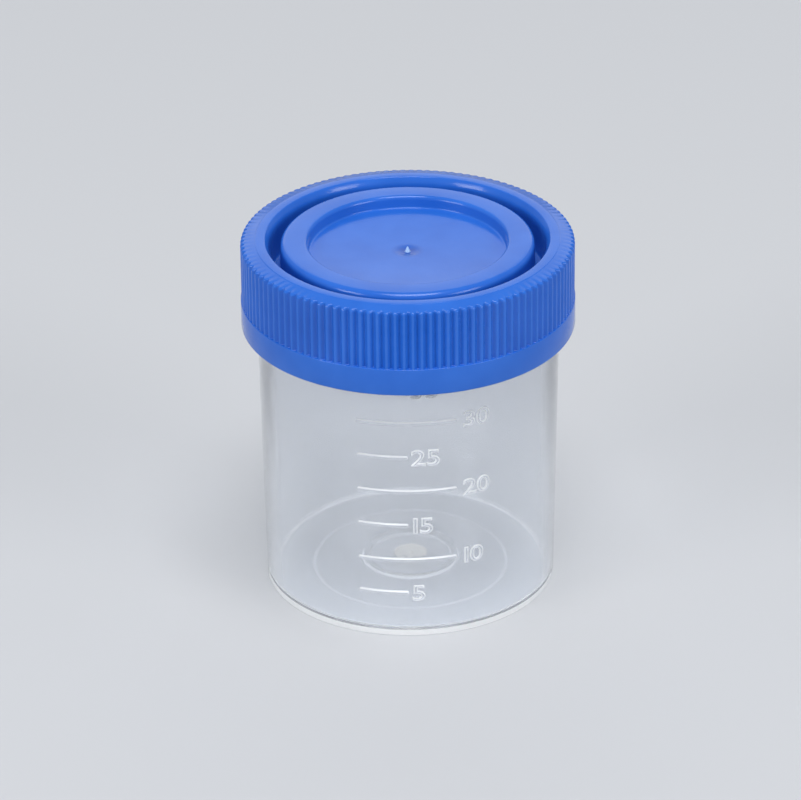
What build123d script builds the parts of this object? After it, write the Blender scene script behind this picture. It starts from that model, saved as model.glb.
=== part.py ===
"""A 40 ml screw-cap specimen container: a tapered, thin-walled cup and its plug-seal lid."""
from build123d import *
import os
from math import cos, radians, sin, tan

# The axis of the container is Z. The origin is the centre of the foot, on the table.
# All sizes are millimetres, and all angles are degrees. The long tapered walls are drawn as
# two-point Bezier curves, whose turned faces mesh far more lightly than cones do.

# Cup wall
foot_radius = 18.5          # outside of the wall where it meets the table
cup_height = 46.0           # table to rim
wall = 0.8                  # side wall
draft = 1.05                # each side of the wall leans outwards by this much
foot_edge = 0.3             # bevel under the wall
inner_corner = 0.5          # bevel where the wall meets the floor

# Cup floor
floor = 0.9                 # thickness of the floor
crown_radius = 12.5         # inside this radius the floor is crowned and clears the table
crown_rise = 0.7            # how far the crown climbs to the boss
boss_radius = 6.1           # raised disc over the gate well
boss_step = 0.65            # height of the disc above the crown
gate_pad_radius = 2.1       # thick spot where the plastic came in
gate_pad_height = 0.25
gate_stub_radius = 0.45     # broken-off sprue inside the well
gate_stub_height = 0.3

# Neck
neck_wall = 0.8             # at the rim, under the thread
neck_base = 36.2            # height where the wall turns into the neck
neck_flare = 0.5            # height of the cone from the wall to the neck
rim_edge = 0.25             # bevels of the rim

# Thread on the neck
thread_pitch = 3.2
thread_turns = 1.6
thread_height = 0.6         # how far the crest stands out of the neck
thread_foot = 1.7           # axial width at the neck
thread_crest = 0.8          # axial width at the crest
thread_top_gap = 1.3        # rim to the upper end of the thread's foot
thread_root = 0.35          # how deep the thread's foot is sunk in the neck wall

# Lid outside
skirt_wall = 1.06           # at the plain band at the bottom of the skirt
band_height = 3.6
band_edge = 0.3             # bevel at the mouth of the skirt
band_step = 0.1             # the crests of the grip ribs stand back from the band
skirt_height = 11.7         # mouth of the skirt to the top of the outer ring
shoulder_width = 1.67       # sloping ring between the grip and the flat top
shoulder_slope = 14.0       # degrees
shoulder_edge = 0.8         # eased corner between the shoulder and the grip

# Grip
flute_count = 120
flute_depth = 0.4
flute_width = 0.76          # between the crests

# Lid top and plug seal
top = 1.3                   # thickness of the ring that sits on the rim
plug_wall = 0.95            # seal wall that goes down inside the neck
plug_lead = 0.5             # chamfer at the plug's tip
moat_width = 1.5            # open channel behind the seal wall
moat_depth = 5.2
moat_draft = 1.5            # degrees that each side of the channel leans in
moat_edge = 0.45            # bevel at the outer lip of the channel
moat_floor = 1.0            # thickness under the channel

# Inner ring and centre panel
ring_drop = 0.3             # inner ring is this much lower than the outer one
ring_edge = 0.8             # eased corner at the outside of the inner ring
ring_width = 3.4            # outside of the inner ring to the top of the recess wall
panel_drop = 1.62           # inner ring to the centre panel
recess_draft = 4.0          # degrees
recess_edge = 0.5           # eased corner at the top of the recess wall
recess_corner = 0.25        # bevel at its foot
panel = 1.2                 # thickness of the panel and of the walls that carry it
dimple_radius = 1.5         # shallow hollow round the gate nub
dimple_depth = 0.15
nub_radius = 0.35           # gate nub in the middle of the panel
nub_height = 0.85

# Clearances between the lid and the cup
seal_gap = 0.1              # plug to the inside of the neck
thread_gap = 0.15           # crest of the neck thread to the bore of the skirt


def wall_growth(height):
    """How much wider the cup is at this height than at the table."""
    return height * tan(radians(draft))


def bevel_corner(sketch, length, r, z):
    """Bevel the corner of a section that lies nearest to the point (r, z)."""
    chamfer(sketch.vertices().sort_by_distance((r, z))[0], length)


def eased(before, corner, after, length):
    """Three points that ease a corner of a section with two flats, which take this length of each side."""
    corner = Vector(*corner)
    back = (Vector(*before) - corner).normalized()
    onward = (Vector(*after) - corner).normalized()
    half = radians(back.get_angle(onward)) / 2
    inward = (back + onward).normalized() * length * (1 - sin(half)) / cos(half)
    return corner + back * length, corner + inward, corner + onward * length


# Radii and heights that follow from the sizes above
inner_foot_radius = foot_radius - wall
rim_bore = inner_foot_radius + wall_growth(cup_height)
neck_radius = rim_bore + neck_wall
crown_top = floor + crown_rise
boss_top = crown_top + boss_step
well_radius = boss_radius - floor
well_top = boss_top - floor
crown_slope = crown_rise / (crown_radius - boss_radius)

lid_top = cup_height + top
skirt_mouth = lid_top - skirt_height
band_top = skirt_mouth + band_height
skirt_bore = neck_radius + thread_height + thread_gap
band_radius = skirt_bore + skirt_wall
grip_radius = band_radius - band_step
shoulder_drop = shoulder_width * tan(radians(shoulder_slope))
flute_top = lid_top - shoulder_drop - shoulder_edge

moat_bottom = lid_top - moat_depth
plug_tip = moat_bottom - moat_floor
plug_root_radius = rim_bore - seal_gap
plug_tip_radius = inner_foot_radius + wall_growth(plug_tip) - seal_gap
moat_outer = plug_root_radius - plug_wall
moat_inner = moat_outer - moat_width
moat_lean = moat_depth * tan(radians(moat_draft))

ring_top = lid_top - ring_drop
panel_top = ring_top - panel_drop
recess_radius = moat_inner - ring_width
recess_foot = recess_radius - panel_drop * tan(radians(recess_draft))

# Corners of the lid's section that are eased, or that eased ones look towards
grip_foot = (grip_radius, band_top)
shoulder_outside = (grip_radius, lid_top - shoulder_drop)
shoulder_inside = (grip_radius - shoulder_width, lid_top)
moat_inner_foot = (moat_inner + moat_lean, moat_bottom)
ring_outside = (moat_inner, ring_top)
ring_inside = (recess_radius, ring_top)
recess_bottom = (recess_foot, panel_top)
shoulder_points = eased(grip_foot, shoulder_outside, shoulder_inside, shoulder_edge)
ring_points = eased(moat_inner_foot, ring_outside, ring_inside, ring_edge)
recess_points = eased(ring_outside, ring_inside, recess_bottom, recess_edge)

thread_rise = thread_pitch * thread_turns
thread_end = cup_height - thread_top_gap - thread_foot / 2
thread_start = thread_end - thread_rise
root_width = thread_crest + (thread_foot - thread_crest) * (1 + thread_root / thread_height)
run_out_radius = neck_radius - thread_root / 2
run_out_depth = thread_height + thread_root
run_out_width = foot_radius / 2

os.makedirs("parts", exist_ok=True)

# ---------------------------------------------------------------- neck thread
with BuildPart() as thread:
    with BuildLine():
        helix = Helix(thread_pitch, thread_rise, neck_radius, center=(0, 0, thread_start))
    with BuildSketch(Plane(helix @ 0, x_dir=(1, 0, 0), z_dir=helix % 0)):
        with BuildLine():
            Polyline(
                (-thread_root, -root_width / 2),
                (thread_height, -thread_crest / 2),
                (thread_height, thread_crest / 2),
                (-thread_root, root_width / 2),
                close=True,
            )
        make_face()
    sweep(path=helix, is_frenet=True)
    # Each end runs out on a flat that dips under the neck where the thread stops.
    for end_height, end_angle in ((thread_start, 0), (thread_end, 360 * thread_turns)):
        with BuildSketch(Plane.XY.offset(end_height - thread_foot)):
            with PolarLocations(run_out_radius + run_out_depth / 2, 1, start_angle=end_angle):
                Rectangle(run_out_depth, run_out_width)
        extrude(amount=2 * thread_foot, mode=Mode.SUBTRACT)

# ---------------------------------------------------------------- cup
with BuildPart() as cup:
    with BuildSketch(Plane.XZ) as cup_section:
        with BuildLine():
            Polyline(
                (0, well_top),
                (well_radius, well_top),
                (well_radius, (crown_radius - well_radius) * crown_slope),
                (crown_radius, 0),
                (foot_radius - foot_edge, 0),
                (foot_radius, foot_edge),
            )
            outer_wall = Bezier((foot_radius, foot_edge), (foot_radius + wall_growth(neck_base), neck_base))
            Polyline(
                outer_wall @ 1,
                (neck_radius, neck_base + neck_flare),
                (neck_radius, cup_height),
                (rim_bore + rim_edge, cup_height),
                (rim_bore, cup_height - rim_edge),
            )
            inner_wall = Bezier(
                (rim_bore, cup_height - rim_edge),
                (inner_foot_radius + wall_growth(floor), floor + inner_corner),
            )
            Polyline(
                inner_wall @ 1,
                (inner_foot_radius + wall_growth(floor) - inner_corner, floor),
                (crown_radius, floor),
                (boss_radius, crown_top),
                (boss_radius, boss_top),
                (0, boss_top),
                (0, well_top),
            )
        make_face()
        bevel_corner(cup_section, rim_edge, neck_radius, cup_height)
    revolve(axis=Axis.Z)
    with Locations((0, 0, well_top)):
        Cylinder(gate_pad_radius, gate_pad_height, align=(Align.CENTER, Align.CENTER, Align.MAX))
    with Locations((0, 0, well_top - gate_pad_height)):
        Cylinder(gate_stub_radius, gate_stub_height, align=(Align.CENTER, Align.CENTER, Align.MAX))
    add(thread.part)

cup.part.label = "cup"
export_step(cup.part, "parts/cup.step")

# ---------------------------------------------------------------- lid
with BuildPart() as lid:
    with BuildSketch(Plane.XZ) as lid_section:
        with BuildLine():
            Polyline(
                # outside of the skirt and the shoulder
                (skirt_bore, skirt_mouth),
                (band_radius, skirt_mouth),
                (band_radius, band_top),
                grip_foot,
                *shoulder_points,
                shoulder_inside,
                # outer ring and the channel behind the seal wall
                (moat_outer + moat_edge, lid_top),
                (moat_outer, lid_top - moat_edge),
            )
            moat_wall = Bezier((moat_outer, lid_top - moat_edge), (moat_outer - moat_lean, moat_bottom))
            Line(moat_wall @ 1, moat_inner_foot)
            moat_inner_wall = Bezier(moat_inner_foot, ring_points[0])
            Polyline(
                moat_inner_wall @ 1,
                # inner ring and the sunk panel
                *ring_points[1:],
                *recess_points,
                recess_bottom,
                (0, panel_top),
                # underside, from the axis back out to the skirt
                (0, panel_top - panel),
                (recess_foot + panel, panel_top - panel),
            )
            recess_underside = Bezier(
                (recess_foot + panel, panel_top - panel),
                (recess_radius + panel, ring_top - panel),
            )
            Line(recess_underside @ 1, (moat_inner - panel, ring_top - panel))
            ring_wall = Bezier(
                (moat_inner - panel, ring_top - panel),
                (moat_inner + moat_lean - panel, plug_tip),
            )
            Polyline(
                ring_wall @ 1,
                (plug_tip_radius - plug_lead, plug_tip),
                (plug_tip_radius, plug_tip + plug_lead),
            )
            seal_wall = Bezier((plug_tip_radius, plug_tip + plug_lead), (plug_root_radius, cup_height))
            Polyline(
                seal_wall @ 1,
                (skirt_bore, cup_height),
                (skirt_bore, skirt_mouth),
            )
        make_face()
        bevel_corner(lid_section, band_edge, band_radius, skirt_mouth)
        bevel_corner(lid_section, recess_corner, recess_foot, panel_top)
    revolve(axis=Axis.Z)

    # Flutes between the grip ribs, from the plain band to the eased shoulder
    with BuildSketch(Plane.XY.offset(band_top)):
        with PolarLocations(grip_radius, flute_count):
            Polygon((-flute_depth, 0), (flute_depth, -flute_width), (flute_depth, flute_width), align=None)
    extrude(amount=flute_top - band_top, mode=Mode.SUBTRACT)

    # Gate nub in its dimple
    dimple_sphere = (dimple_radius**2 + dimple_depth**2) / (2 * dimple_depth)
    with Locations((0, 0, panel_top - dimple_depth + dimple_sphere)):
        Sphere(dimple_sphere, mode=Mode.SUBTRACT)
    with Locations((0, 0, panel_top - dimple_depth)):
        Cone(nub_radius, nub_radius / 4, nub_height, align=(Align.CENTER, Align.CENTER, Align.MIN))

lid.part.label = "lid"
export_step(lid.part, "parts/lid.step")
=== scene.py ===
"""Looks of a small screw-cap specimen container: a clear, slightly milky cup and its blue ribbed lid."""
from math import cos, radians, sin, tan

import bmesh
import bpy
from mathutils import Matrix, Vector


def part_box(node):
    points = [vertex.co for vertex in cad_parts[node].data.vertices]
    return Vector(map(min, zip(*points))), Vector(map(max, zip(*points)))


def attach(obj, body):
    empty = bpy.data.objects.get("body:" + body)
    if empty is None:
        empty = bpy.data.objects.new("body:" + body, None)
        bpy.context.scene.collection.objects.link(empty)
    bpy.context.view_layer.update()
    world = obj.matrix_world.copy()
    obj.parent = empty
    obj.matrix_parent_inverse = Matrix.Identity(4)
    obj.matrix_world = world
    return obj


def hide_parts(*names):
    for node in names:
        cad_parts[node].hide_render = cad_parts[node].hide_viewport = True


MM = 0.001

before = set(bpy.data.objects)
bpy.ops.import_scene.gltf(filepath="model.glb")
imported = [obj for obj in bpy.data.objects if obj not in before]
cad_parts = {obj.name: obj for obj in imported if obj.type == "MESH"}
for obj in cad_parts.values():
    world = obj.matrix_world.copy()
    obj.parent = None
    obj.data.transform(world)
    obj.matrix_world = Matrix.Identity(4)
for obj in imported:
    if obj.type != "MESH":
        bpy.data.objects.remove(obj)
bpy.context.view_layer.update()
cup_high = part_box("cup")[1]
lid_low, lid_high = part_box("lid")

# Cup, in millimetres. What can be read from the frame is read from it.
RIM = cup_high.z / MM
FOOT_RADIUS = 18.5
WALL = 0.8
DRAFT = radians(1.05)           # each side of the wall leans outwards by this much
FLOOR = 0.9
CROWN_RADIUS = 12.5
CROWN_RISE = 0.7
BOSS_RADIUS = 6.1
BOSS_STEP = 0.65
GATE_PAD = (2.1, 0.25)          # radius and height
GATE_STUB = (0.45, 0.3)
GATE_MIDDLE = 1.05              # height of the middle of the pad and its stub
NECK_WALL = 0.8
NECK_BASE = 36.2
NECK_FLARE = 0.5
CUP_STEPS = 256                 # columns of faces round the cup

# Threads
PITCH = 3.2
THREAD_TURNS = 1.6
THREAD_STEPS = 96               # per turn
THREAD_RUN_OUT = 8              # steps over which each end fades into the wall
THREAD_HEIGHT = 0.6
THREAD_ROUNDING = 0.15          # of the two edges of the crest
THREAD_GAP = 0.15
THREAD_SUNK = 0.12              # the root of a thread is this deep in its wall
NECK_THREAD_START = 38.73

# Lid
LID_TOP = lid_high.z / MM
SKIRT_MOUTH = lid_low.z / MM
BAND_RADIUS = lid_high.x / MM
BAND_HEIGHT = 3.6
BAND_TOP = SKIRT_MOUTH + BAND_HEIGHT
BAND_STEP = 0.1                 # the grip stands this far inside the band
GRIP_RADIUS = BAND_RADIUS - BAND_STEP
SHOULDER_WIDTH = 1.8
SHOULDER_SLOPE = radians(10.5)
SHOULDER_EDGE = (0.09, 0.07)    # width and height of the small step at the inside of the shoulder
SKIN = 1.2                      # thickness of the panel and the walls round it
PLUG_WALL = 0.95
SEAL_GAP = 0.1
MOAT_WIDTH = 1.5
MOAT_DEPTH = 5.2
MOAT_FLOOR = 1.0
MOAT_DRAFT = radians(1.5)
MOAT_LIP = (0.5, 0.8)           # width and height of the slope from the lid's top into the moat
RING_DROP = 0.3                 # the inner ring is this much lower than the lid's top
RING_TOP = LID_TOP - RING_DROP
RING_WIDTH = 3.4
RECESS_DEPTH = 1.62
RECESS_DRAFT = radians(4)
PANEL_TOP = RING_TOP - RECESS_DEPTH
DIMPLE = (1.6, 0.18)            # radius and depth
NUB = (0.36, 0.08, 0.70)        # radius at its foot and tip, and height

# Grip flutes
GRIP_ROUNDING = 0.36
FLUTES = 120
FLUTE_STEPS = 8                 # columns of faces across one flute and one rib
FLUTE_DEPTHS = {0: 0.43, 1: 0.35, 2: 0.15}     # by steps from the middle of the flute
FLUTE_RUN_OUT = 0.5             # share of the depth that is left at the shoulder
FLUTE_FOOT = 0.12               # rounding between a flute and the band's ledge
LEDGE_ROUNDING = 0.018          # the same corner between the flutes

# Graduations, in millilitres, with the height of each mark's middle in millimetres
MARKS = {5: 6.41, 10: 11.17, 15: 16.14, 20: 20.98, 25: 25.84, 30: 30.65, 35: 35.4}
LINE_START = -20.0              # degrees from the front, where every line starts
LONG_LINE_END = 17.8
SHORT_LINE_END = -1.0
TENS_START = 20.5               # degrees from the front to the left edge of the numerals
FIVES_START = 0.5
ONE_INSET = 0.6                 # a numeral that begins with a 1 starts this many degrees later
RELIEF = 0.22
MARK_SUNK = 0.06
LINE_WIDTH = 0.62
LINE_ROUNDING = 0.05
LINE_END = (0.1, 0.08)          # width and height of the slope at each end of a line
END_COSINE = 0.9                # a face that looks along the wall at least this squarely is an end
SIDE_COSINE = 0.93              # a face that looks out of the wall less squarely than this is a side

# Numerals, in a plain font
NUMERAL_HEIGHT = 2.45
NUMERAL_EDGE = 0.13             # sloping sides of the numerals
NUMERAL_STRETCH = 1.22          # the numerals are this much wider than the font's
NUMERAL_THINNING = 0.05         # taken off either side of a stroke before the slopes are added
NUMERAL_SPACING = 0.98
ONE_SPACING = 0.74              # spacing after a 1
CAPITAL_HEIGHT = 0.7            # height of the font's figures as a share of its size
BEND_CUTS = 9                   # upright cuts that let a numeral follow the wall
BEND_CUT_SPACING = 0.4

# Plastics. A fade is the two distances, in millimetres, between which a tint falls to nothing.
LID_BLUES = ((0.019, 0.130, 0.58, 1), (0.026, 0.150, 0.63, 1))
# The dimple's darker blue is painted shade
DIMPLE_SHADE_BLUE = (0.012, 0.080, 0.42, 1)
DIMPLE_SHADE_FADE = (0.6, 2.2)
# The nub's paler blue is a painted highlight
NUB_HIGHLIGHT_BLUE = (0.36, 0.54, 0.84, 1)
NUB_HIGHLIGHT_FADE = (0.3, 0.42)
CLEAR = (0.88, 0.90, 0.93, 1)
FOOT_WHITE = (0.96, 0.965, 0.97, 1)
GATE_CREAM = (1.0, 0.94, 0.82, 1)
SPECK_GREY = (0.16, 0.15, 0.14, 1)
# The whiter plastic on the graduations' sides is a painted highlight
MARK_HIGHLIGHT_WHITE = (0.93, 0.94, 0.96, 1)
LAMP_TINT = (0.87, 0.88, 0.89, 1)       # of the lamps' light that passes through the cup
CUP_IOR = 1.49

MERGE = 1e-7                    # metres; vertices nearer than this are one
PICK = 0.002                    # slack, in millimetres, when vertices are picked by their place
CREASE = radians(35)            # edges sharper than this aren't smoothed
LAMP_DISTANCE = 1.2             # metres
LAMP_AIM = Vector((0, 0, 25 * MM))


def wall_radius(height):
    """Outside radius of the tapered wall at this height."""
    return FOOT_RADIUS + height * tan(DRAFT)


RIM_BORE = wall_radius(RIM) - WALL
NECK_RADIUS = RIM_BORE + NECK_WALL
SKIRT_BORE = NECK_RADIUS + THREAD_HEIGHT + THREAD_GAP


# ---------------------------------------------------------------- modelling helpers
def start_clean():
    """Deselect whatever the frame or the last piece left selected."""
    bpy.ops.object.select_all(action="DESELECT")


def select_vertices(piece, wanted):
    """In edit mode, select exactly the vertices whose place passes the test."""
    bpy.ops.mesh.select_all(action="DESELECT")
    mesh = bmesh.from_edit_mesh(piece.data)
    for vertex in mesh.verts:
        vertex.select_set(wanted(vertex.co))
    mesh.select_flush_mode()
    bmesh.update_edit_mesh(piece.data)


def corner_places(corners):
    """The corners of a section as places on the XZ plane, in metres."""
    return [Vector((radius * MM, 0, height * MM)) for (radius, height), reach, steps in corners]


def draw_section(name, corners):
    """Draw an open section on the XZ plane by extruding one vertex from corner to corner, then round it.

    Each corner is its radius and height, the length of its rounding on either side, and the steps of
    that rounding, all in millimetres but for the steps.
    """
    start_clean()
    bpy.ops.mesh.primitive_plane_add(size=MM, location=(0, 0, 0))
    piece = bpy.context.object
    piece.name = name
    bpy.ops.object.mode_set(mode="EDIT")
    bpy.ops.mesh.select_mode(type="VERT")
    bpy.ops.mesh.select_all(action="SELECT")
    bpy.ops.mesh.merge(type="CENTER")
    places = corner_places(corners)
    bpy.ops.transform.translate(value=places[0])
    for here, there in zip(places, places[1:]):
        bpy.ops.mesh.extrude_vertices_move(TRANSFORM_OT_translate={"value": there - here})
    for place, (corner, reach, steps) in zip(places, corners):
        if steps:
            select_vertices(piece, lambda c: (c - place).length < MERGE)
            bpy.ops.mesh.bevel(
                offset=reach * MM, segments=steps, affect="VERTICES", clamp_overlap=False
            )
    return piece


def close_section(piece, corners):
    """In edit mode, join the section's last corner to its first."""
    first, last = corner_places((corners[0], corners[-1]))
    select_vertices(piece, lambda c: min((c - first).length, (c - last).length) < MERGE)
    bpy.ops.mesh.edge_face_add()


def turn(degrees):
    """In edit mode, turn everything round the axis, anticlockwise from above."""
    bpy.ops.mesh.select_all(action="SELECT")
    bpy.ops.transform.rotate(value=-radians(degrees), orient_axis="Z", center_override=(0, 0, 0))


def spin(degrees, steps, copies=False):
    """In edit mode, spin everything round the axis, anticlockwise from above."""
    bpy.ops.mesh.select_all(action="SELECT")
    bpy.ops.mesh.spin(
        steps=steps, angle=-radians(degrees), dupli=copies, center=(0, 0, 0), axis=(0, 0, 1)
    )


def close_surface():
    """Merge the seam and the poles, turn every face outwards and leave edit mode."""
    bpy.ops.mesh.select_all(action="SELECT")
    bpy.ops.mesh.remove_doubles(threshold=MERGE)
    bpy.ops.mesh.normals_make_consistent(inside=False)
    bpy.ops.object.mode_set(mode="OBJECT")


def finish_piece(piece, body, material):
    """Smooth the piece up to the crease angle, give it its material and put it on its body."""
    start_clean()
    piece.select_set(True)
    bpy.context.view_layer.objects.active = piece
    bpy.ops.object.shade_smooth_by_angle(angle=CREASE)
    piece.data.materials.clear()
    piece.data.materials.append(material)
    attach(piece, body)


# ---------------------------------------------------------------- the lid
def lid_section():
    """The lid's section, from the tip of the nub over the top, down the skirt and back underneath."""
    nub_foot, nub_tip, nub_height = NUB
    dimple_radius, dimple_depth = DIMPLE
    dimple_floor = PANEL_TOP - dimple_depth
    nub_top = dimple_floor + nub_height
    moat_bottom = LID_TOP - MOAT_DEPTH
    moat_lean = MOAT_DEPTH * tan(MOAT_DRAFT)
    lip_width, lip_height = MOAT_LIP
    plug_tip = moat_bottom - MOAT_FLOOR
    plug_root_radius = RIM_BORE - SEAL_GAP
    moat_outer = plug_root_radius - PLUG_WALL
    moat_inner = moat_outer - MOAT_WIDTH
    recess_radius = moat_inner - RING_WIDTH
    recess_foot = recess_radius - RECESS_DEPTH * tan(RECESS_DRAFT)
    edge_width, edge_height = SHOULDER_EDGE
    shoulder_inside = GRIP_RADIUS - SHOULDER_WIDTH
    shoulder_top = LID_TOP - edge_height
    shoulder_foot = shoulder_top - SHOULDER_WIDTH * tan(SHOULDER_SLOPE)

    # Each corner, the length of its rounding on either side, and the steps of that rounding
    corners = [
        # Gate nub and dimple
        ((0, nub_top), 0, 0),
        ((nub_tip, nub_top), 0.05, 2),
        ((nub_foot, dimple_floor), 0.1, 2),
        ((2 * nub_foot, dimple_floor), 0.2, 2),
        ((dimple_radius, PANEL_TOP), 0.2, 3),
        # Recess, inner ring and moat
        ((recess_foot, PANEL_TOP), 0.25, 4),
        ((recess_radius, RING_TOP), 0.5, 6),
        ((moat_inner, RING_TOP), 0.8, 7),
        ((moat_inner + moat_lean, moat_bottom), 0.35, 3),
        ((moat_outer - moat_lean, moat_bottom), 0.35, 3),
        ((moat_outer, LID_TOP - lip_height), 0.35, 4),
        ((moat_outer + lip_width, LID_TOP), 0.12, 3),
        # Shoulder, grip and band
        ((shoulder_inside - edge_width, LID_TOP), 0.03, 1),
        ((shoulder_inside, shoulder_top), 0.03, 1),
        ((GRIP_RADIUS, shoulder_foot), GRIP_ROUNDING, 6),
        ((GRIP_RADIUS, BAND_TOP), LEDGE_ROUNDING, 3),
        ((BAND_RADIUS, BAND_TOP), 0.075, 3),
        ((BAND_RADIUS, SKIRT_MOUTH), 0.3, 4),
        # Inside of the skirt, seat on the rim and plug
        ((SKIRT_BORE, SKIRT_MOUTH), 0.15, 2),
        ((SKIRT_BORE, RIM), 0.1, 1),
        ((plug_root_radius, RIM), 0.1, 1),
        ((wall_radius(plug_tip) - WALL - SEAL_GAP, plug_tip), 0.5, 3),
        # Underside of the moat, the inner ring and the panel
        ((moat_inner + moat_lean - SKIN, plug_tip), 0.2, 2),
        ((moat_inner - SKIN, RING_TOP - SKIN), 0.5, 2),
        ((recess_radius + SKIN, RING_TOP - SKIN), 0.3, 2),
        ((recess_foot + SKIN, PANEL_TOP - SKIN), 0.4, 2),
        ((0, PANEL_TOP - SKIN), 0, 0),
    ]
    return draw_section("lid_shell", corners)


def sink_columns(shell, steps_away, depth):
    """In edit mode, sink the grip in the columns that are this many steps from the flute's middle."""
    step = radians(360 / FLUTES / FLUTE_STEPS)

    def in_columns(place):
        return place.x > 0 and abs(abs(place.y) - steps_away * step * place.x) < step / 2 * place.x

    def at_foot(place):
        reach = LEDGE_ROUNDING + PICK
        near_band = abs(place.z / MM - BAND_TOP) < reach
        return near_band and abs(place.xy.length / MM - GRIP_RADIUS) < reach and in_columns(place)

    def at_corner(place):
        upper = place.z / MM > (BAND_TOP + LID_TOP) / 2
        outer = place.xy.length / MM > GRIP_RADIUS - GRIP_ROUNDING - PICK
        return upper and outer and in_columns(place)

    # The foot moves in whole, and its rounding grows
    select_vertices(shell, at_foot)
    bpy.ops.transform.translate(value=(-depth * MM, 0, 0))
    grown = FLUTE_FOOT / LEDGE_ROUNDING
    foot = ((GRIP_RADIUS - depth) * MM, 0, BAND_TOP * MM)
    bpy.ops.transform.resize(value=(grown, 1, grown), center_override=foot)

    # The grip's corner moves in by a part of the depth and is drawn in by the rest at its foot
    select_vertices(shell, at_corner)
    shallow = depth * FLUTE_RUN_OUT
    bpy.ops.transform.translate(value=(-shallow * MM, 0, shallow * tan(SHOULDER_SLOPE) * MM))
    drawn = 1 - (depth - shallow) / GRIP_ROUNDING
    top = ((GRIP_RADIUS - GRIP_ROUNDING - shallow) * MM, 0, 0)
    bpy.ops.transform.resize(value=(drawn, 1, 1), center_override=top)


def lid_shell(material):
    """The lid: one flute's wedge is spun from the section, fluted, and repeated round the axis."""
    shell = lid_section()
    wedge = 360 / FLUTES
    spin(wedge, FLUTE_STEPS)
    turn(-wedge / 2)
    for steps_away, depth in FLUTE_DEPTHS.items():
        sink_columns(shell, steps_away, depth)
    spin(wedge * (FLUTES - 1), FLUTES - 1, copies=True)
    close_surface()
    finish_piece(shell, "lid", material)
    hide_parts("lid")


def thread(name, root_radius, crest_radius, root_width, crest_width, start_height):
    """A right-hand thread ridge whose ends fade into the wall; its root is sunk in the wall."""
    corners = [
        ((root_radius, start_height - root_width / 2), 0, 0),
        ((crest_radius, start_height - crest_width / 2), THREAD_ROUNDING, 2),
        ((crest_radius, start_height + crest_width / 2), THREAD_ROUNDING, 2),
        ((root_radius, start_height + root_width / 2), 0, 0),
    ]
    ridge = draw_section(name, corners)
    close_section(ridge, corners)
    bpy.ops.object.mode_set(mode="OBJECT")

    # Two passes, each with half of the turns
    winding = ridge.modifiers.new("winding", "SCREW")
    winding.axis = "Z"
    winding.iterations = 2
    winding.angle = radians(180 * THREAD_TURNS)
    winding.screw_offset = PITCH * THREAD_TURNS / 2 * MM
    winding.steps = winding.render_steps = round(THREAD_STEPS * THREAD_TURNS / 2)
    winding.use_smooth_shade = False
    bpy.ops.object.modifier_apply(modifier=winding.name)

    bpy.ops.object.mode_set(mode="EDIT")
    bpy.ops.mesh.select_all(action="SELECT")
    bpy.ops.mesh.remove_doubles(threshold=MERGE)
    bpy.ops.mesh.select_all(action="SELECT")
    bpy.ops.mesh.fill_holes(sides=0)
    fade_ends(ridge, root_radius, crest_radius, start_height)
    close_surface()

    # Outwards is judged wrongly on this ridge, so every face is turned over
    bpy.ops.object.mode_set(mode="EDIT")
    bpy.ops.mesh.select_all(action="SELECT")
    bpy.ops.mesh.flip_normals()
    bpy.ops.object.mode_set(mode="OBJECT")
    return ridge


def fade_ends(ridge, root_radius, crest_radius, start_height):
    """Scale the last sections at each end of a thread in towards its root, step by step."""
    step = 360 / THREAD_STEPS
    for back in range(THREAD_RUN_OUT):
        share = back / THREAD_RUN_OUT
        radius = root_radius + (crest_radius - root_radius) * share
        shrink = radius / crest_radius
        for degrees in (back * step, 360 * THREAD_TURNS - back * step):
            middle = start_height + PITCH * degrees / 360
            toward = Vector((cos(radians(degrees)), sin(radians(degrees)), 0))

            def at_section(place):
                flat = Vector((place.x, place.y, 0))
                past_root = abs(flat.length / MM - root_radius) > PICK
                near = abs(place.z / MM - middle) < PITCH / 2
                return near and past_root and flat.angle(toward) < radians(step / 2)

            select_vertices(ridge, at_section)
            bpy.ops.transform.resize(value=(shrink, shrink, 1), center_override=(0, 0, 0))


def lid_thread(material):
    """The thread inside the skirt. It runs half a pitch below the neck's and clears it."""
    ridge = thread(
        "lid_thread",
        root_radius=SKIRT_BORE + THREAD_SUNK,
        crest_radius=NECK_RADIUS + THREAD_GAP,
        root_width=1.35,
        crest_width=0.6,
        start_height=NECK_THREAD_START - PITCH / 2,
    )
    finish_piece(ridge, "lid", material)


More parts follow.
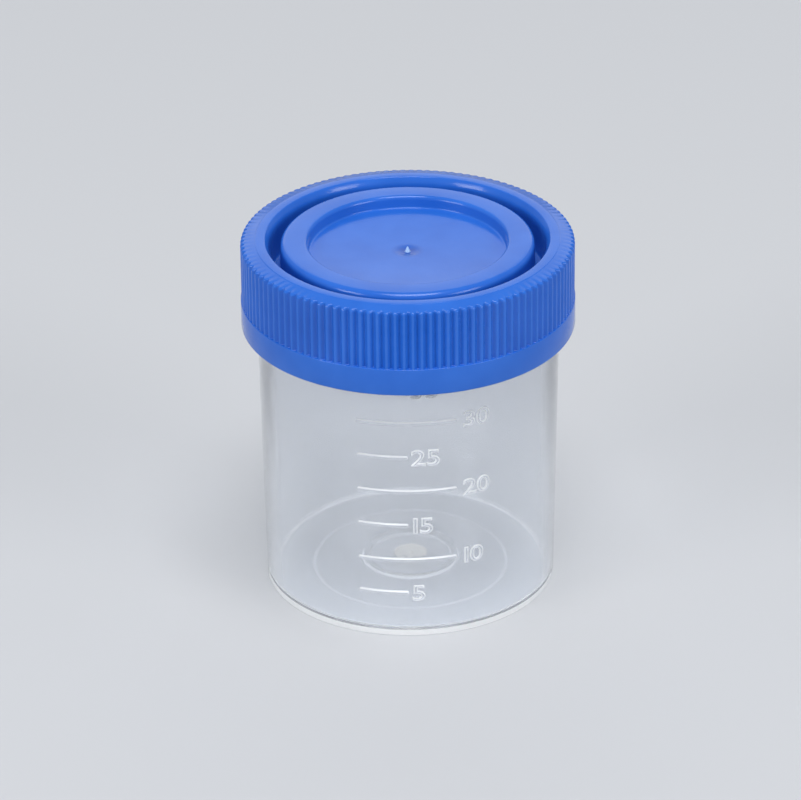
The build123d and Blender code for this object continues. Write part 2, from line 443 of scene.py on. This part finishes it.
# ---------------------------------------------------------------- the cup
def cup_shell(material):
    """The cup: its section, from the gate stub out to the foot, over the rim and back inside, spun."""
    slope = CROWN_RISE / (CROWN_RADIUS - BOSS_RADIUS)
    crown_top = FLOOR + CROWN_RISE
    boss_top = crown_top + BOSS_STEP
    well_radius = BOSS_RADIUS - FLOOR
    well_top = boss_top - FLOOR
    pad_radius, pad_height = GATE_PAD
    pad_face = well_top - pad_height
    stub_radius, stub_height = GATE_STUB
    shell = draw_section("cup_shell", [
        # Stub, pad and well under the boss
        ((0, pad_face - stub_height), 0, 0),
        ((stub_radius, pad_face - stub_height), 0.15, 2),
        ((stub_radius, pad_face), 0, 0),
        ((pad_radius, pad_face), 0.12, 3),
        ((pad_radius, well_top), 0, 0),
        ((well_radius, well_top), 0.2, 3),
        ((well_radius, (CROWN_RADIUS - well_radius) * slope), 0.15, 3),
        # Foot, wall and neck
        ((CROWN_RADIUS, 0), 0.4, 3),
        ((FOOT_RADIUS, 0), 0.3, 5),
        ((wall_radius(NECK_BASE), NECK_BASE), 0.2, 2),
        ((NECK_RADIUS, NECK_BASE + NECK_FLARE), 0.2, 2),
        ((NECK_RADIUS, RIM), 0.25, 4),
        # Inside
        ((RIM_BORE, RIM), 0.25, 4),
        ((wall_radius(FLOOR) - WALL, FLOOR), 0.5, 5),
        ((CROWN_RADIUS, FLOOR), 0.4, 3),
        ((BOSS_RADIUS, crown_top), 0.2, 3),
        ((BOSS_RADIUS, boss_top), 0.2, 3),
        ((0, boss_top), 0, 0),
    ])
    spin(-360, CUP_STEPS)
    close_surface()
    finish_piece(shell, "cup", material)
    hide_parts("cup")


def neck_thread(material):
    """The thread on the neck, which the lid hides until it is lifted off."""
    ridge = thread(
        "neck_thread",
        root_radius=NECK_RADIUS - THREAD_SUNK,
        crest_radius=NECK_RADIUS + THREAD_HEIGHT,
        root_width=1.8,
        crest_width=0.8,
        start_height=NECK_THREAD_START,
    )
    finish_piece(ridge, "cup", material)


def graduation_line(millilitres, start, end, material, side_highlight_material):
    """One raised stroke on the wall, between two directions in degrees from the front."""
    height = MARKS[millilitres]
    root = wall_radius(height) - MARK_SUNK
    crest = wall_radius(height) + RELIEF
    half = LINE_WIDTH / 2
    corners = [
        ((root, height - half), 0, 0),
        ((crest, height - half / 2), LINE_ROUNDING, 2),
        ((crest, height + half / 2), LINE_ROUNDING, 2),
        ((root, height + half), 0, 0),
    ]
    line = draw_section(f"graduation_line_{millilitres}", corners)
    close_section(line, corners)
    turn(start - 90)
    spin(end - start, round(end - start))
    bpy.ops.mesh.select_all(action="SELECT")
    bpy.ops.mesh.fill_holes(sides=0)
    bpy.ops.mesh.normals_make_consistent(inside=False)
    select_end_caps(line)
    slope_width, slope_height = LINE_END
    bpy.ops.mesh.inset(thickness=slope_width * MM, depth=slope_height * MM, use_outset=False)
    close_surface()
    finish_piece(line, "cup", material)
    whiten_sides(line, side_highlight_material)


def select_end_caps(line):
    """In edit mode, select the faces that look along the wall: the two ends of a stroke."""
    bpy.ops.mesh.select_all(action="DESELECT")
    bpy.ops.mesh.select_mode(type="FACE")
    mesh = bmesh.from_edit_mesh(line.data)
    for face in mesh.faces:
        middle = face.calc_center_median()
        along = Vector((-middle.y, middle.x, 0)).normalized()
        face.select_set(abs(face.normal.dot(along)) > END_COSINE)
    bmesh.update_edit_mesh(line.data)
    bpy.ops.mesh.select_mode(type="FACE")


def whiten_sides(mark, side_highlight_material):
    """Give a raised mark's sloping sides, which catch the light, a painted highlight: a second, whiter
    plastic.
    """
    mark.data.materials.append(side_highlight_material)
    for face in mark.data.polygons:
        outwards = Vector((face.center.x, face.center.y, 0)).normalized()
        face.material_index = int(abs(face.normal.dot(outwards)) < SIDE_COSINE)


def graduation_numeral(millilitres, direction, material, side_highlight_material):
    """A raised numeral on the wall; its left edge is in this direction in degrees from the front."""
    start_clean()
    bpy.ops.object.text_add(location=(0, 0, 0))
    numeral = bpy.context.object
    numeral.name = f"graduation_numeral_{millilitres}"
    text = numeral.data
    text.body = str(millilitres)
    text.align_x = "LEFT"
    text.size = (NUMERAL_HEIGHT - 2 * NUMERAL_EDGE) / CAPITAL_HEIGHT * MM
    text.space_character = ONE_SPACING if text.body.startswith("1") else NUMERAL_SPACING
    text.offset = -NUMERAL_THINNING * MM
    text.extrude = ((RELIEF + MARK_SUNK) / 2 - NUMERAL_EDGE) * MM
    text.bevel_depth = NUMERAL_EDGE * MM
    text.bevel_resolution = 0
    text.resolution_u = 6
    bpy.ops.object.convert(target="MESH")
    bpy.ops.object.mode_set(mode="EDIT")
    for cut in range(1, BEND_CUTS + 1):
        bpy.ops.mesh.select_all(action="SELECT")
        bpy.ops.mesh.bisect(plane_co=(cut * BEND_CUT_SPACING * MM, 0, 0), plane_no=(1, 0, 0))
    close_surface()
    wrap_on_wall(numeral, MARKS[millilitres], direction)
    finish_piece(numeral, "cup", material)
    whiten_sides(numeral, side_highlight_material)


def wrap_on_wall(numeral, height, direction):
    """Lay a flat numeral round the wall: across becomes along the wall, and up stays up."""
    places = [vertex.co.copy() for vertex in numeral.data.vertices]
    left = min(place.x for place in places)
    back = min(place.z for place in places)
    middle = (max(place.y for place in places) + min(place.y for place in places)) / 2
    for vertex, place in zip(numeral.data.vertices, places):
        z = height * MM + place.y - middle
        radius = (wall_radius(z / MM) - MARK_SUNK) * MM
        angle = radians(direction) + (place.x - left) * NUMERAL_STRETCH / radius
        radius += place.z - back
        vertex.co = (radius * sin(angle), -radius * cos(angle), z)


def graduations(material, side_highlight_material):
    """Long lines at the tens, short ones between them, and a numeral after each."""
    for millilitres in MARKS:
        is_ten = millilitres % 10 == 0
        line_end = LONG_LINE_END if is_ten else SHORT_LINE_END
        numeral_start = TENS_START if is_ten else FIVES_START
        if str(millilitres).startswith("1"):
            numeral_start += ONE_INSET
        graduation_line(millilitres, LINE_START, line_end, material, side_highlight_material)
        graduation_numeral(millilitres, numeral_start, material, side_highlight_material)


# ---------------------------------------------------------------- materials
def new_material(name):
    """A material with one Principled shader; returns it with its node tree and that shader."""
    material = bpy.data.materials.new(name)
    material.use_nodes = True
    tree = material.node_tree
    return material, tree, tree.nodes["Principled BSDF"]


def calculate(tree, operation, first, second=0.0):
    """A Math node on sockets or numbers; returns its result."""
    node = tree.nodes.new("ShaderNodeMath")
    node.operation = operation
    for socket, value in zip(node.inputs, (first, second)):
        if isinstance(value, (int, float)):
            socket.default_value = value
        else:
            tree.links.new(value, socket)
    return node.outputs[0]


def own_place(tree):
    """The place in the container's own coordinates, in metres."""
    return tree.nodes.new("ShaderNodeTexCoord").outputs["Object"]


def own_axes(tree):
    """The same place as its X, Y and Z."""
    axes = tree.nodes.new("ShaderNodeSeparateXYZ")
    tree.links.new(own_place(tree), axes.inputs[0])
    return axes.outputs


def cylinder_place(tree):
    """The distance from the container's axis and the height above the table, in millimetres."""
    x, y, z = own_axes(tree)
    squares = [calculate(tree, "POWER", axis, 2) for axis in (x, y)]
    radius = calculate(tree, "SQRT", calculate(tree, "ADD", *squares))
    return [calculate(tree, "DIVIDE", distance, MM) for distance in (radius, z)]


def frontness(tree):
    """How far in front of the container's axis, in millimetres."""
    x, y, z = own_axes(tree)
    return calculate(tree, "DIVIDE", calculate(tree, "MULTIPLY", y, -1), MM)


def remap(tree, value, from_low, from_high, to_low, to_high):
    """A clamped Map Range node; returns its result."""
    node = tree.nodes.new("ShaderNodeMapRange")
    tree.links.new(value, node.inputs["Value"])
    for name, number in (
        ("From Min", from_low), ("From Max", from_high), ("To Min", to_low), ("To Max", to_high)
    ):
        node.inputs[name].default_value = number
    return node.outputs[0]


def nearness(tree, value, centre, inside, outside):
    """1 where the value is within one distance of the centre, falling to 0 at the other."""
    off = calculate(tree, "ABSOLUTE", calculate(tree, "SUBTRACT", value, centre))
    return remap(tree, off, inside, outside, 1, 0)


def both(tree, first, second):
    """The product of two masks."""
    return calculate(tree, "MULTIPLY", first, second)


def ring_mask(tree, place, ring, across, up):
    """A mask that is 1 in a ring round the axis; place and ring are a radius and a height each.

    It falls to 0 between the two distances in `across`, to the sides, and in `up`, upwards and down.
    """
    near_radius = nearness(tree, place[0], ring[0], *across)
    near_height = nearness(tree, place[1], ring[1], *up)
    return both(tree, near_radius, near_height)


def noise(tree, scale, detail=2, stretch=(1, 1, 1)):
    """A noise in the container's own coordinates; the scale is in features per millimetre."""
    mapping = tree.nodes.new("ShaderNodeMapping")
    tree.links.new(own_place(tree), mapping.inputs["Vector"])
    mapping.inputs["Scale"].default_value = stretch
    node = tree.nodes.new("ShaderNodeTexNoise")
    tree.links.new(mapping.outputs["Vector"], node.inputs["Vector"])
    node.inputs["Scale"].default_value = scale / MM
    node.inputs["Detail"].default_value = detail
    return node.outputs["Fac"]


def tinted(tree, base, tint, share):
    """The base colour, mixed with a tint by this share; each colour is a constant or a socket."""
    node = tree.nodes.new("ShaderNodeMix")
    node.data_type = "RGBA"
    for name, colour in (("A", base), ("B", tint)):
        if isinstance(colour, tuple):
            node.inputs[name].default_value = colour
        else:
            tree.links.new(colour, node.inputs[name])
    tree.links.new(share, node.inputs["Factor"])
    return node.outputs["Result"]


def uneven_roughness(tree, shader, scale, low, high):
    """Let the roughness drift between two values."""
    tree.links.new(remap(tree, noise(tree, scale), 0.3, 0.7, low, high), shader.inputs["Roughness"])


def bump(tree, shader, height, depth):
    """Raise the surface by a height from 0 to 1 times this depth in millimetres."""
    node = tree.nodes.new("ShaderNodeBump")
    node.inputs["Distance"].default_value = depth * MM
    tree.links.new(height, node.inputs["Height"])
    tree.links.new(node.outputs["Normal"], shader.inputs["Normal"])


def lid_plastic():
    """Opaque blue moulded plastic, glossy, with the faint unevenness of a moulded skin."""
    material, tree, shader = new_material("lid_plastic")
    radius, height = cylinder_place(tree)
    cloud = remap(tree, noise(tree, 0.15), 0.35, 0.65, 0, 1)
    colour = tinted(tree, *LID_BLUES, cloud)

    # Painted shade darkens the dimple and a painted highlight makes the nub in it paler, on top of the
    # panel and not underneath
    panel_middle = PANEL_TOP - SKIN / 2
    on_top = remap(tree, height, panel_middle, panel_middle + RING_DROP, 0, 1)
    dimple = both(tree, on_top, nearness(tree, radius, 0, *DIMPLE_SHADE_FADE))
    nub = both(tree, on_top, nearness(tree, radius, 0, *NUB_HIGHLIGHT_FADE))
    colour = tinted(tree, colour, DIMPLE_SHADE_BLUE, dimple)
    colour = tinted(tree, colour, NUB_HIGHLIGHT_BLUE, nub)
    tree.links.new(colour, shader.inputs["Base Color"])

    shader.inputs["Specular IOR Level"].default_value = 0.36
    uneven_roughness(tree, shader, 0.9, 0.13, 0.20)
    bump(tree, shader, noise(tree, 1.6, detail=3), 0.012)
    return material


def let_lamps_through(material):
    """Lamps shine through this plastic on to what is inside it and under it."""
    tree = material.node_tree
    clear = tree.nodes.new("ShaderNodeBsdfTransparent")
    clear.inputs["Color"].default_value = LAMP_TINT
    mix = tree.nodes.new("ShaderNodeMixShader")
    tree.links.new(tree.nodes.new("ShaderNodeLightPath").outputs["Is Shadow Ray"], mix.inputs["Fac"])
    tree.links.new(tree.nodes["Principled BSDF"].outputs["BSDF"], mix.inputs[1])
    tree.links.new(clear.outputs["BSDF"], mix.inputs[2])
    tree.links.new(mix.outputs["Shader"], tree.nodes["Material Output"].inputs["Surface"])


def cup_plastic():
    """Natural polypropylene: clear with a milky haze, milkier where it is thick or turns a corner."""
    material, tree, shader = new_material("cup_plastic")
    place = cylinder_place(tree)
    foot = ring_mask(tree, place, (FOOT_RADIUS, 0), (0.5, 0.9), (0.92, 1.0))
    corner = ring_mask(tree, place, (FOOT_RADIUS - WALL, FLOOR), (0.25, 0.5), (0.12, 0.3))
    crown_edge = ring_mask(tree, place, (CROWN_RADIUS, FLOOR), (0.1, 0.3), (0.1, 0.4))
    boss_edge = ring_mask(tree, place, (BOSS_RADIUS, FLOOR + CROWN_RISE), (0.15, 0.35), (0.2, 0.4))
    gate = ring_mask(tree, place, (0, GATE_MIDDLE), (GATE_PAD[0], GATE_PAD[0] + 0.1), (0.35, 0.4))

    # The gate pad is cream, with a few darker specks on its front half
    speck = remap(tree, noise(tree, 2.2, detail=0), 0.53, 0.57, 0, 0.8)
    speck = both(tree, speck, remap(tree, frontness(tree), 0.2, 0.7, 0, 1))
    cream = tinted(tree, GATE_CREAM, SPECK_GREY, speck)
    white = tinted(tree, CLEAR, FOOT_WHITE, foot)
    tree.links.new(tinted(tree, white, cream, gate), shader.inputs["Base Color"])

    milk = calculate(tree, "MULTIPLY", foot, 0.72)
    for mask, share in ((corner, 0.7), (crown_edge, 0.35), (boss_edge, 0.6), (gate, 0.8)):
        milk = calculate(tree, "MAXIMUM", milk, calculate(tree, "MULTIPLY", mask, share))
    clearness = remap(tree, noise(tree, 0.08), 0.3, 0.7, 0.77, 0.83)
    clearness = calculate(tree, "SUBTRACT", clearness, milk)
    tree.links.new(clearness, shader.inputs["Transmission Weight"])

    shader.inputs["IOR"].default_value = CUP_IOR
    uneven_roughness(tree, shader, 0.5, 0.04, 0.08)
    bump(tree, shader, noise(tree, 0.25, stretch=(1, 1, 0.25)), 0.02)
    let_lamps_through(material)
    return material


def graduation_plastic():
    """The cup's plastic, whiter and less clear, as a painted highlight on the sides of the raised
    graduations.
    """
    material, tree, shader = new_material("graduation_plastic")
    shader.inputs["Base Color"].default_value = MARK_HIGHLIGHT_WHITE
    shader.inputs["IOR"].default_value = CUP_IOR
    shader.inputs["Transmission Weight"].default_value = 0.45
    uneven_roughness(tree, shader, 2, 0.12, 0.2)
    let_lamps_through(material)
    return material


# ---------------------------------------------------------------- studio
def soft_box(name, azimuth, elevation, size, power):
    """A rectangular lamp that looks at the container from this direction; azimuth 0 is the front."""
    heading, rise = radians(azimuth), radians(elevation)
    back = Vector((sin(heading) * cos(rise), -cos(heading) * cos(rise), sin(rise)))
    lamp = bpy.data.lights.new(name, "AREA")
    lamp.shape = "RECTANGLE"
    lamp.size, lamp.size_y = size
    lamp.energy = power
    holder = bpy.data.objects.new(name, lamp)
    holder.location = LAMP_AIM + back * LAMP_DISTANCE
    holder.rotation_euler = (-back).to_track_quat("-Z", "Y").to_euler()
    bpy.context.scene.collection.objects.link(holder)


def floor():
    """A plain pale floor."""
    start_clean()
    bpy.ops.mesh.primitive_plane_add(size=6, location=(0, 0, -0.02 * MM))
    plane = bpy.context.object
    plane.name = "floor"
    material, tree, shader = new_material("floor_paint")
    shader.inputs["Base Color"].default_value = (0.58, 0.59, 0.61, 1)
    shader.inputs["Roughness"].default_value = 0.7
    shader.inputs["Specular IOR Level"].default_value = 0.15
    plane.data.materials.append(material)


def daylight():
    """An even, pale surround."""
    world = bpy.data.worlds.new("studio")
    world.use_nodes = True
    surround = world.node_tree.nodes["Background"]
    surround.inputs["Color"].default_value = (0.80, 0.84, 0.90, 1)
    surround.inputs["Strength"].default_value = 0.42
    bpy.context.scene.world = world


def camera():
    """The camera stands in front of the container, looks down on it and is rolled a little."""
    place = Vector((0, -589.05, 329.3)) * MM
    aim = Vector((-1.09, 0, 24.17)) * MM
    roll = Matrix.Rotation(radians(-0.6), 4, "Z")
    view = bpy.data.cameras.new("camera")
    view.lens = 233.35
    view.sensor_width = 36
    view.clip_start = 0.01
    holder = bpy.data.objects.new("camera", view)
    upright = (aim - place).to_track_quat("-Z", "Y").to_matrix().to_4x4()
    holder.matrix_world = Matrix.Translation(place) @ upright @ roll
    bpy.context.scene.collection.objects.link(holder)
    bpy.context.scene.camera = holder


# ---------------------------------------------------------------- the scene
bpy.context.scene.view_settings.view_transform = "Standard"

blue = lid_plastic()
lid_shell(blue)
lid_thread(blue)
milky = cup_plastic()
cup_shell(milky)
neck_thread(milky)
graduations(milky, graduation_plastic())

floor()
daylight()
soft_box("overhead", azimuth=10, elevation=75, size=(0.6, 0.6), power=8.1)
soft_box("left_box", azimuth=-54, elevation=25, size=(0.45, 0.45), power=4.4)
soft_box("right_box", azimuth=54, elevation=25, size=(0.45, 0.45), power=3.9)
soft_box("back_glow", azimuth=180, elevation=28, size=(1.3, 0.8), power=2.5)
camera()

bpy.context.view_layer.update()
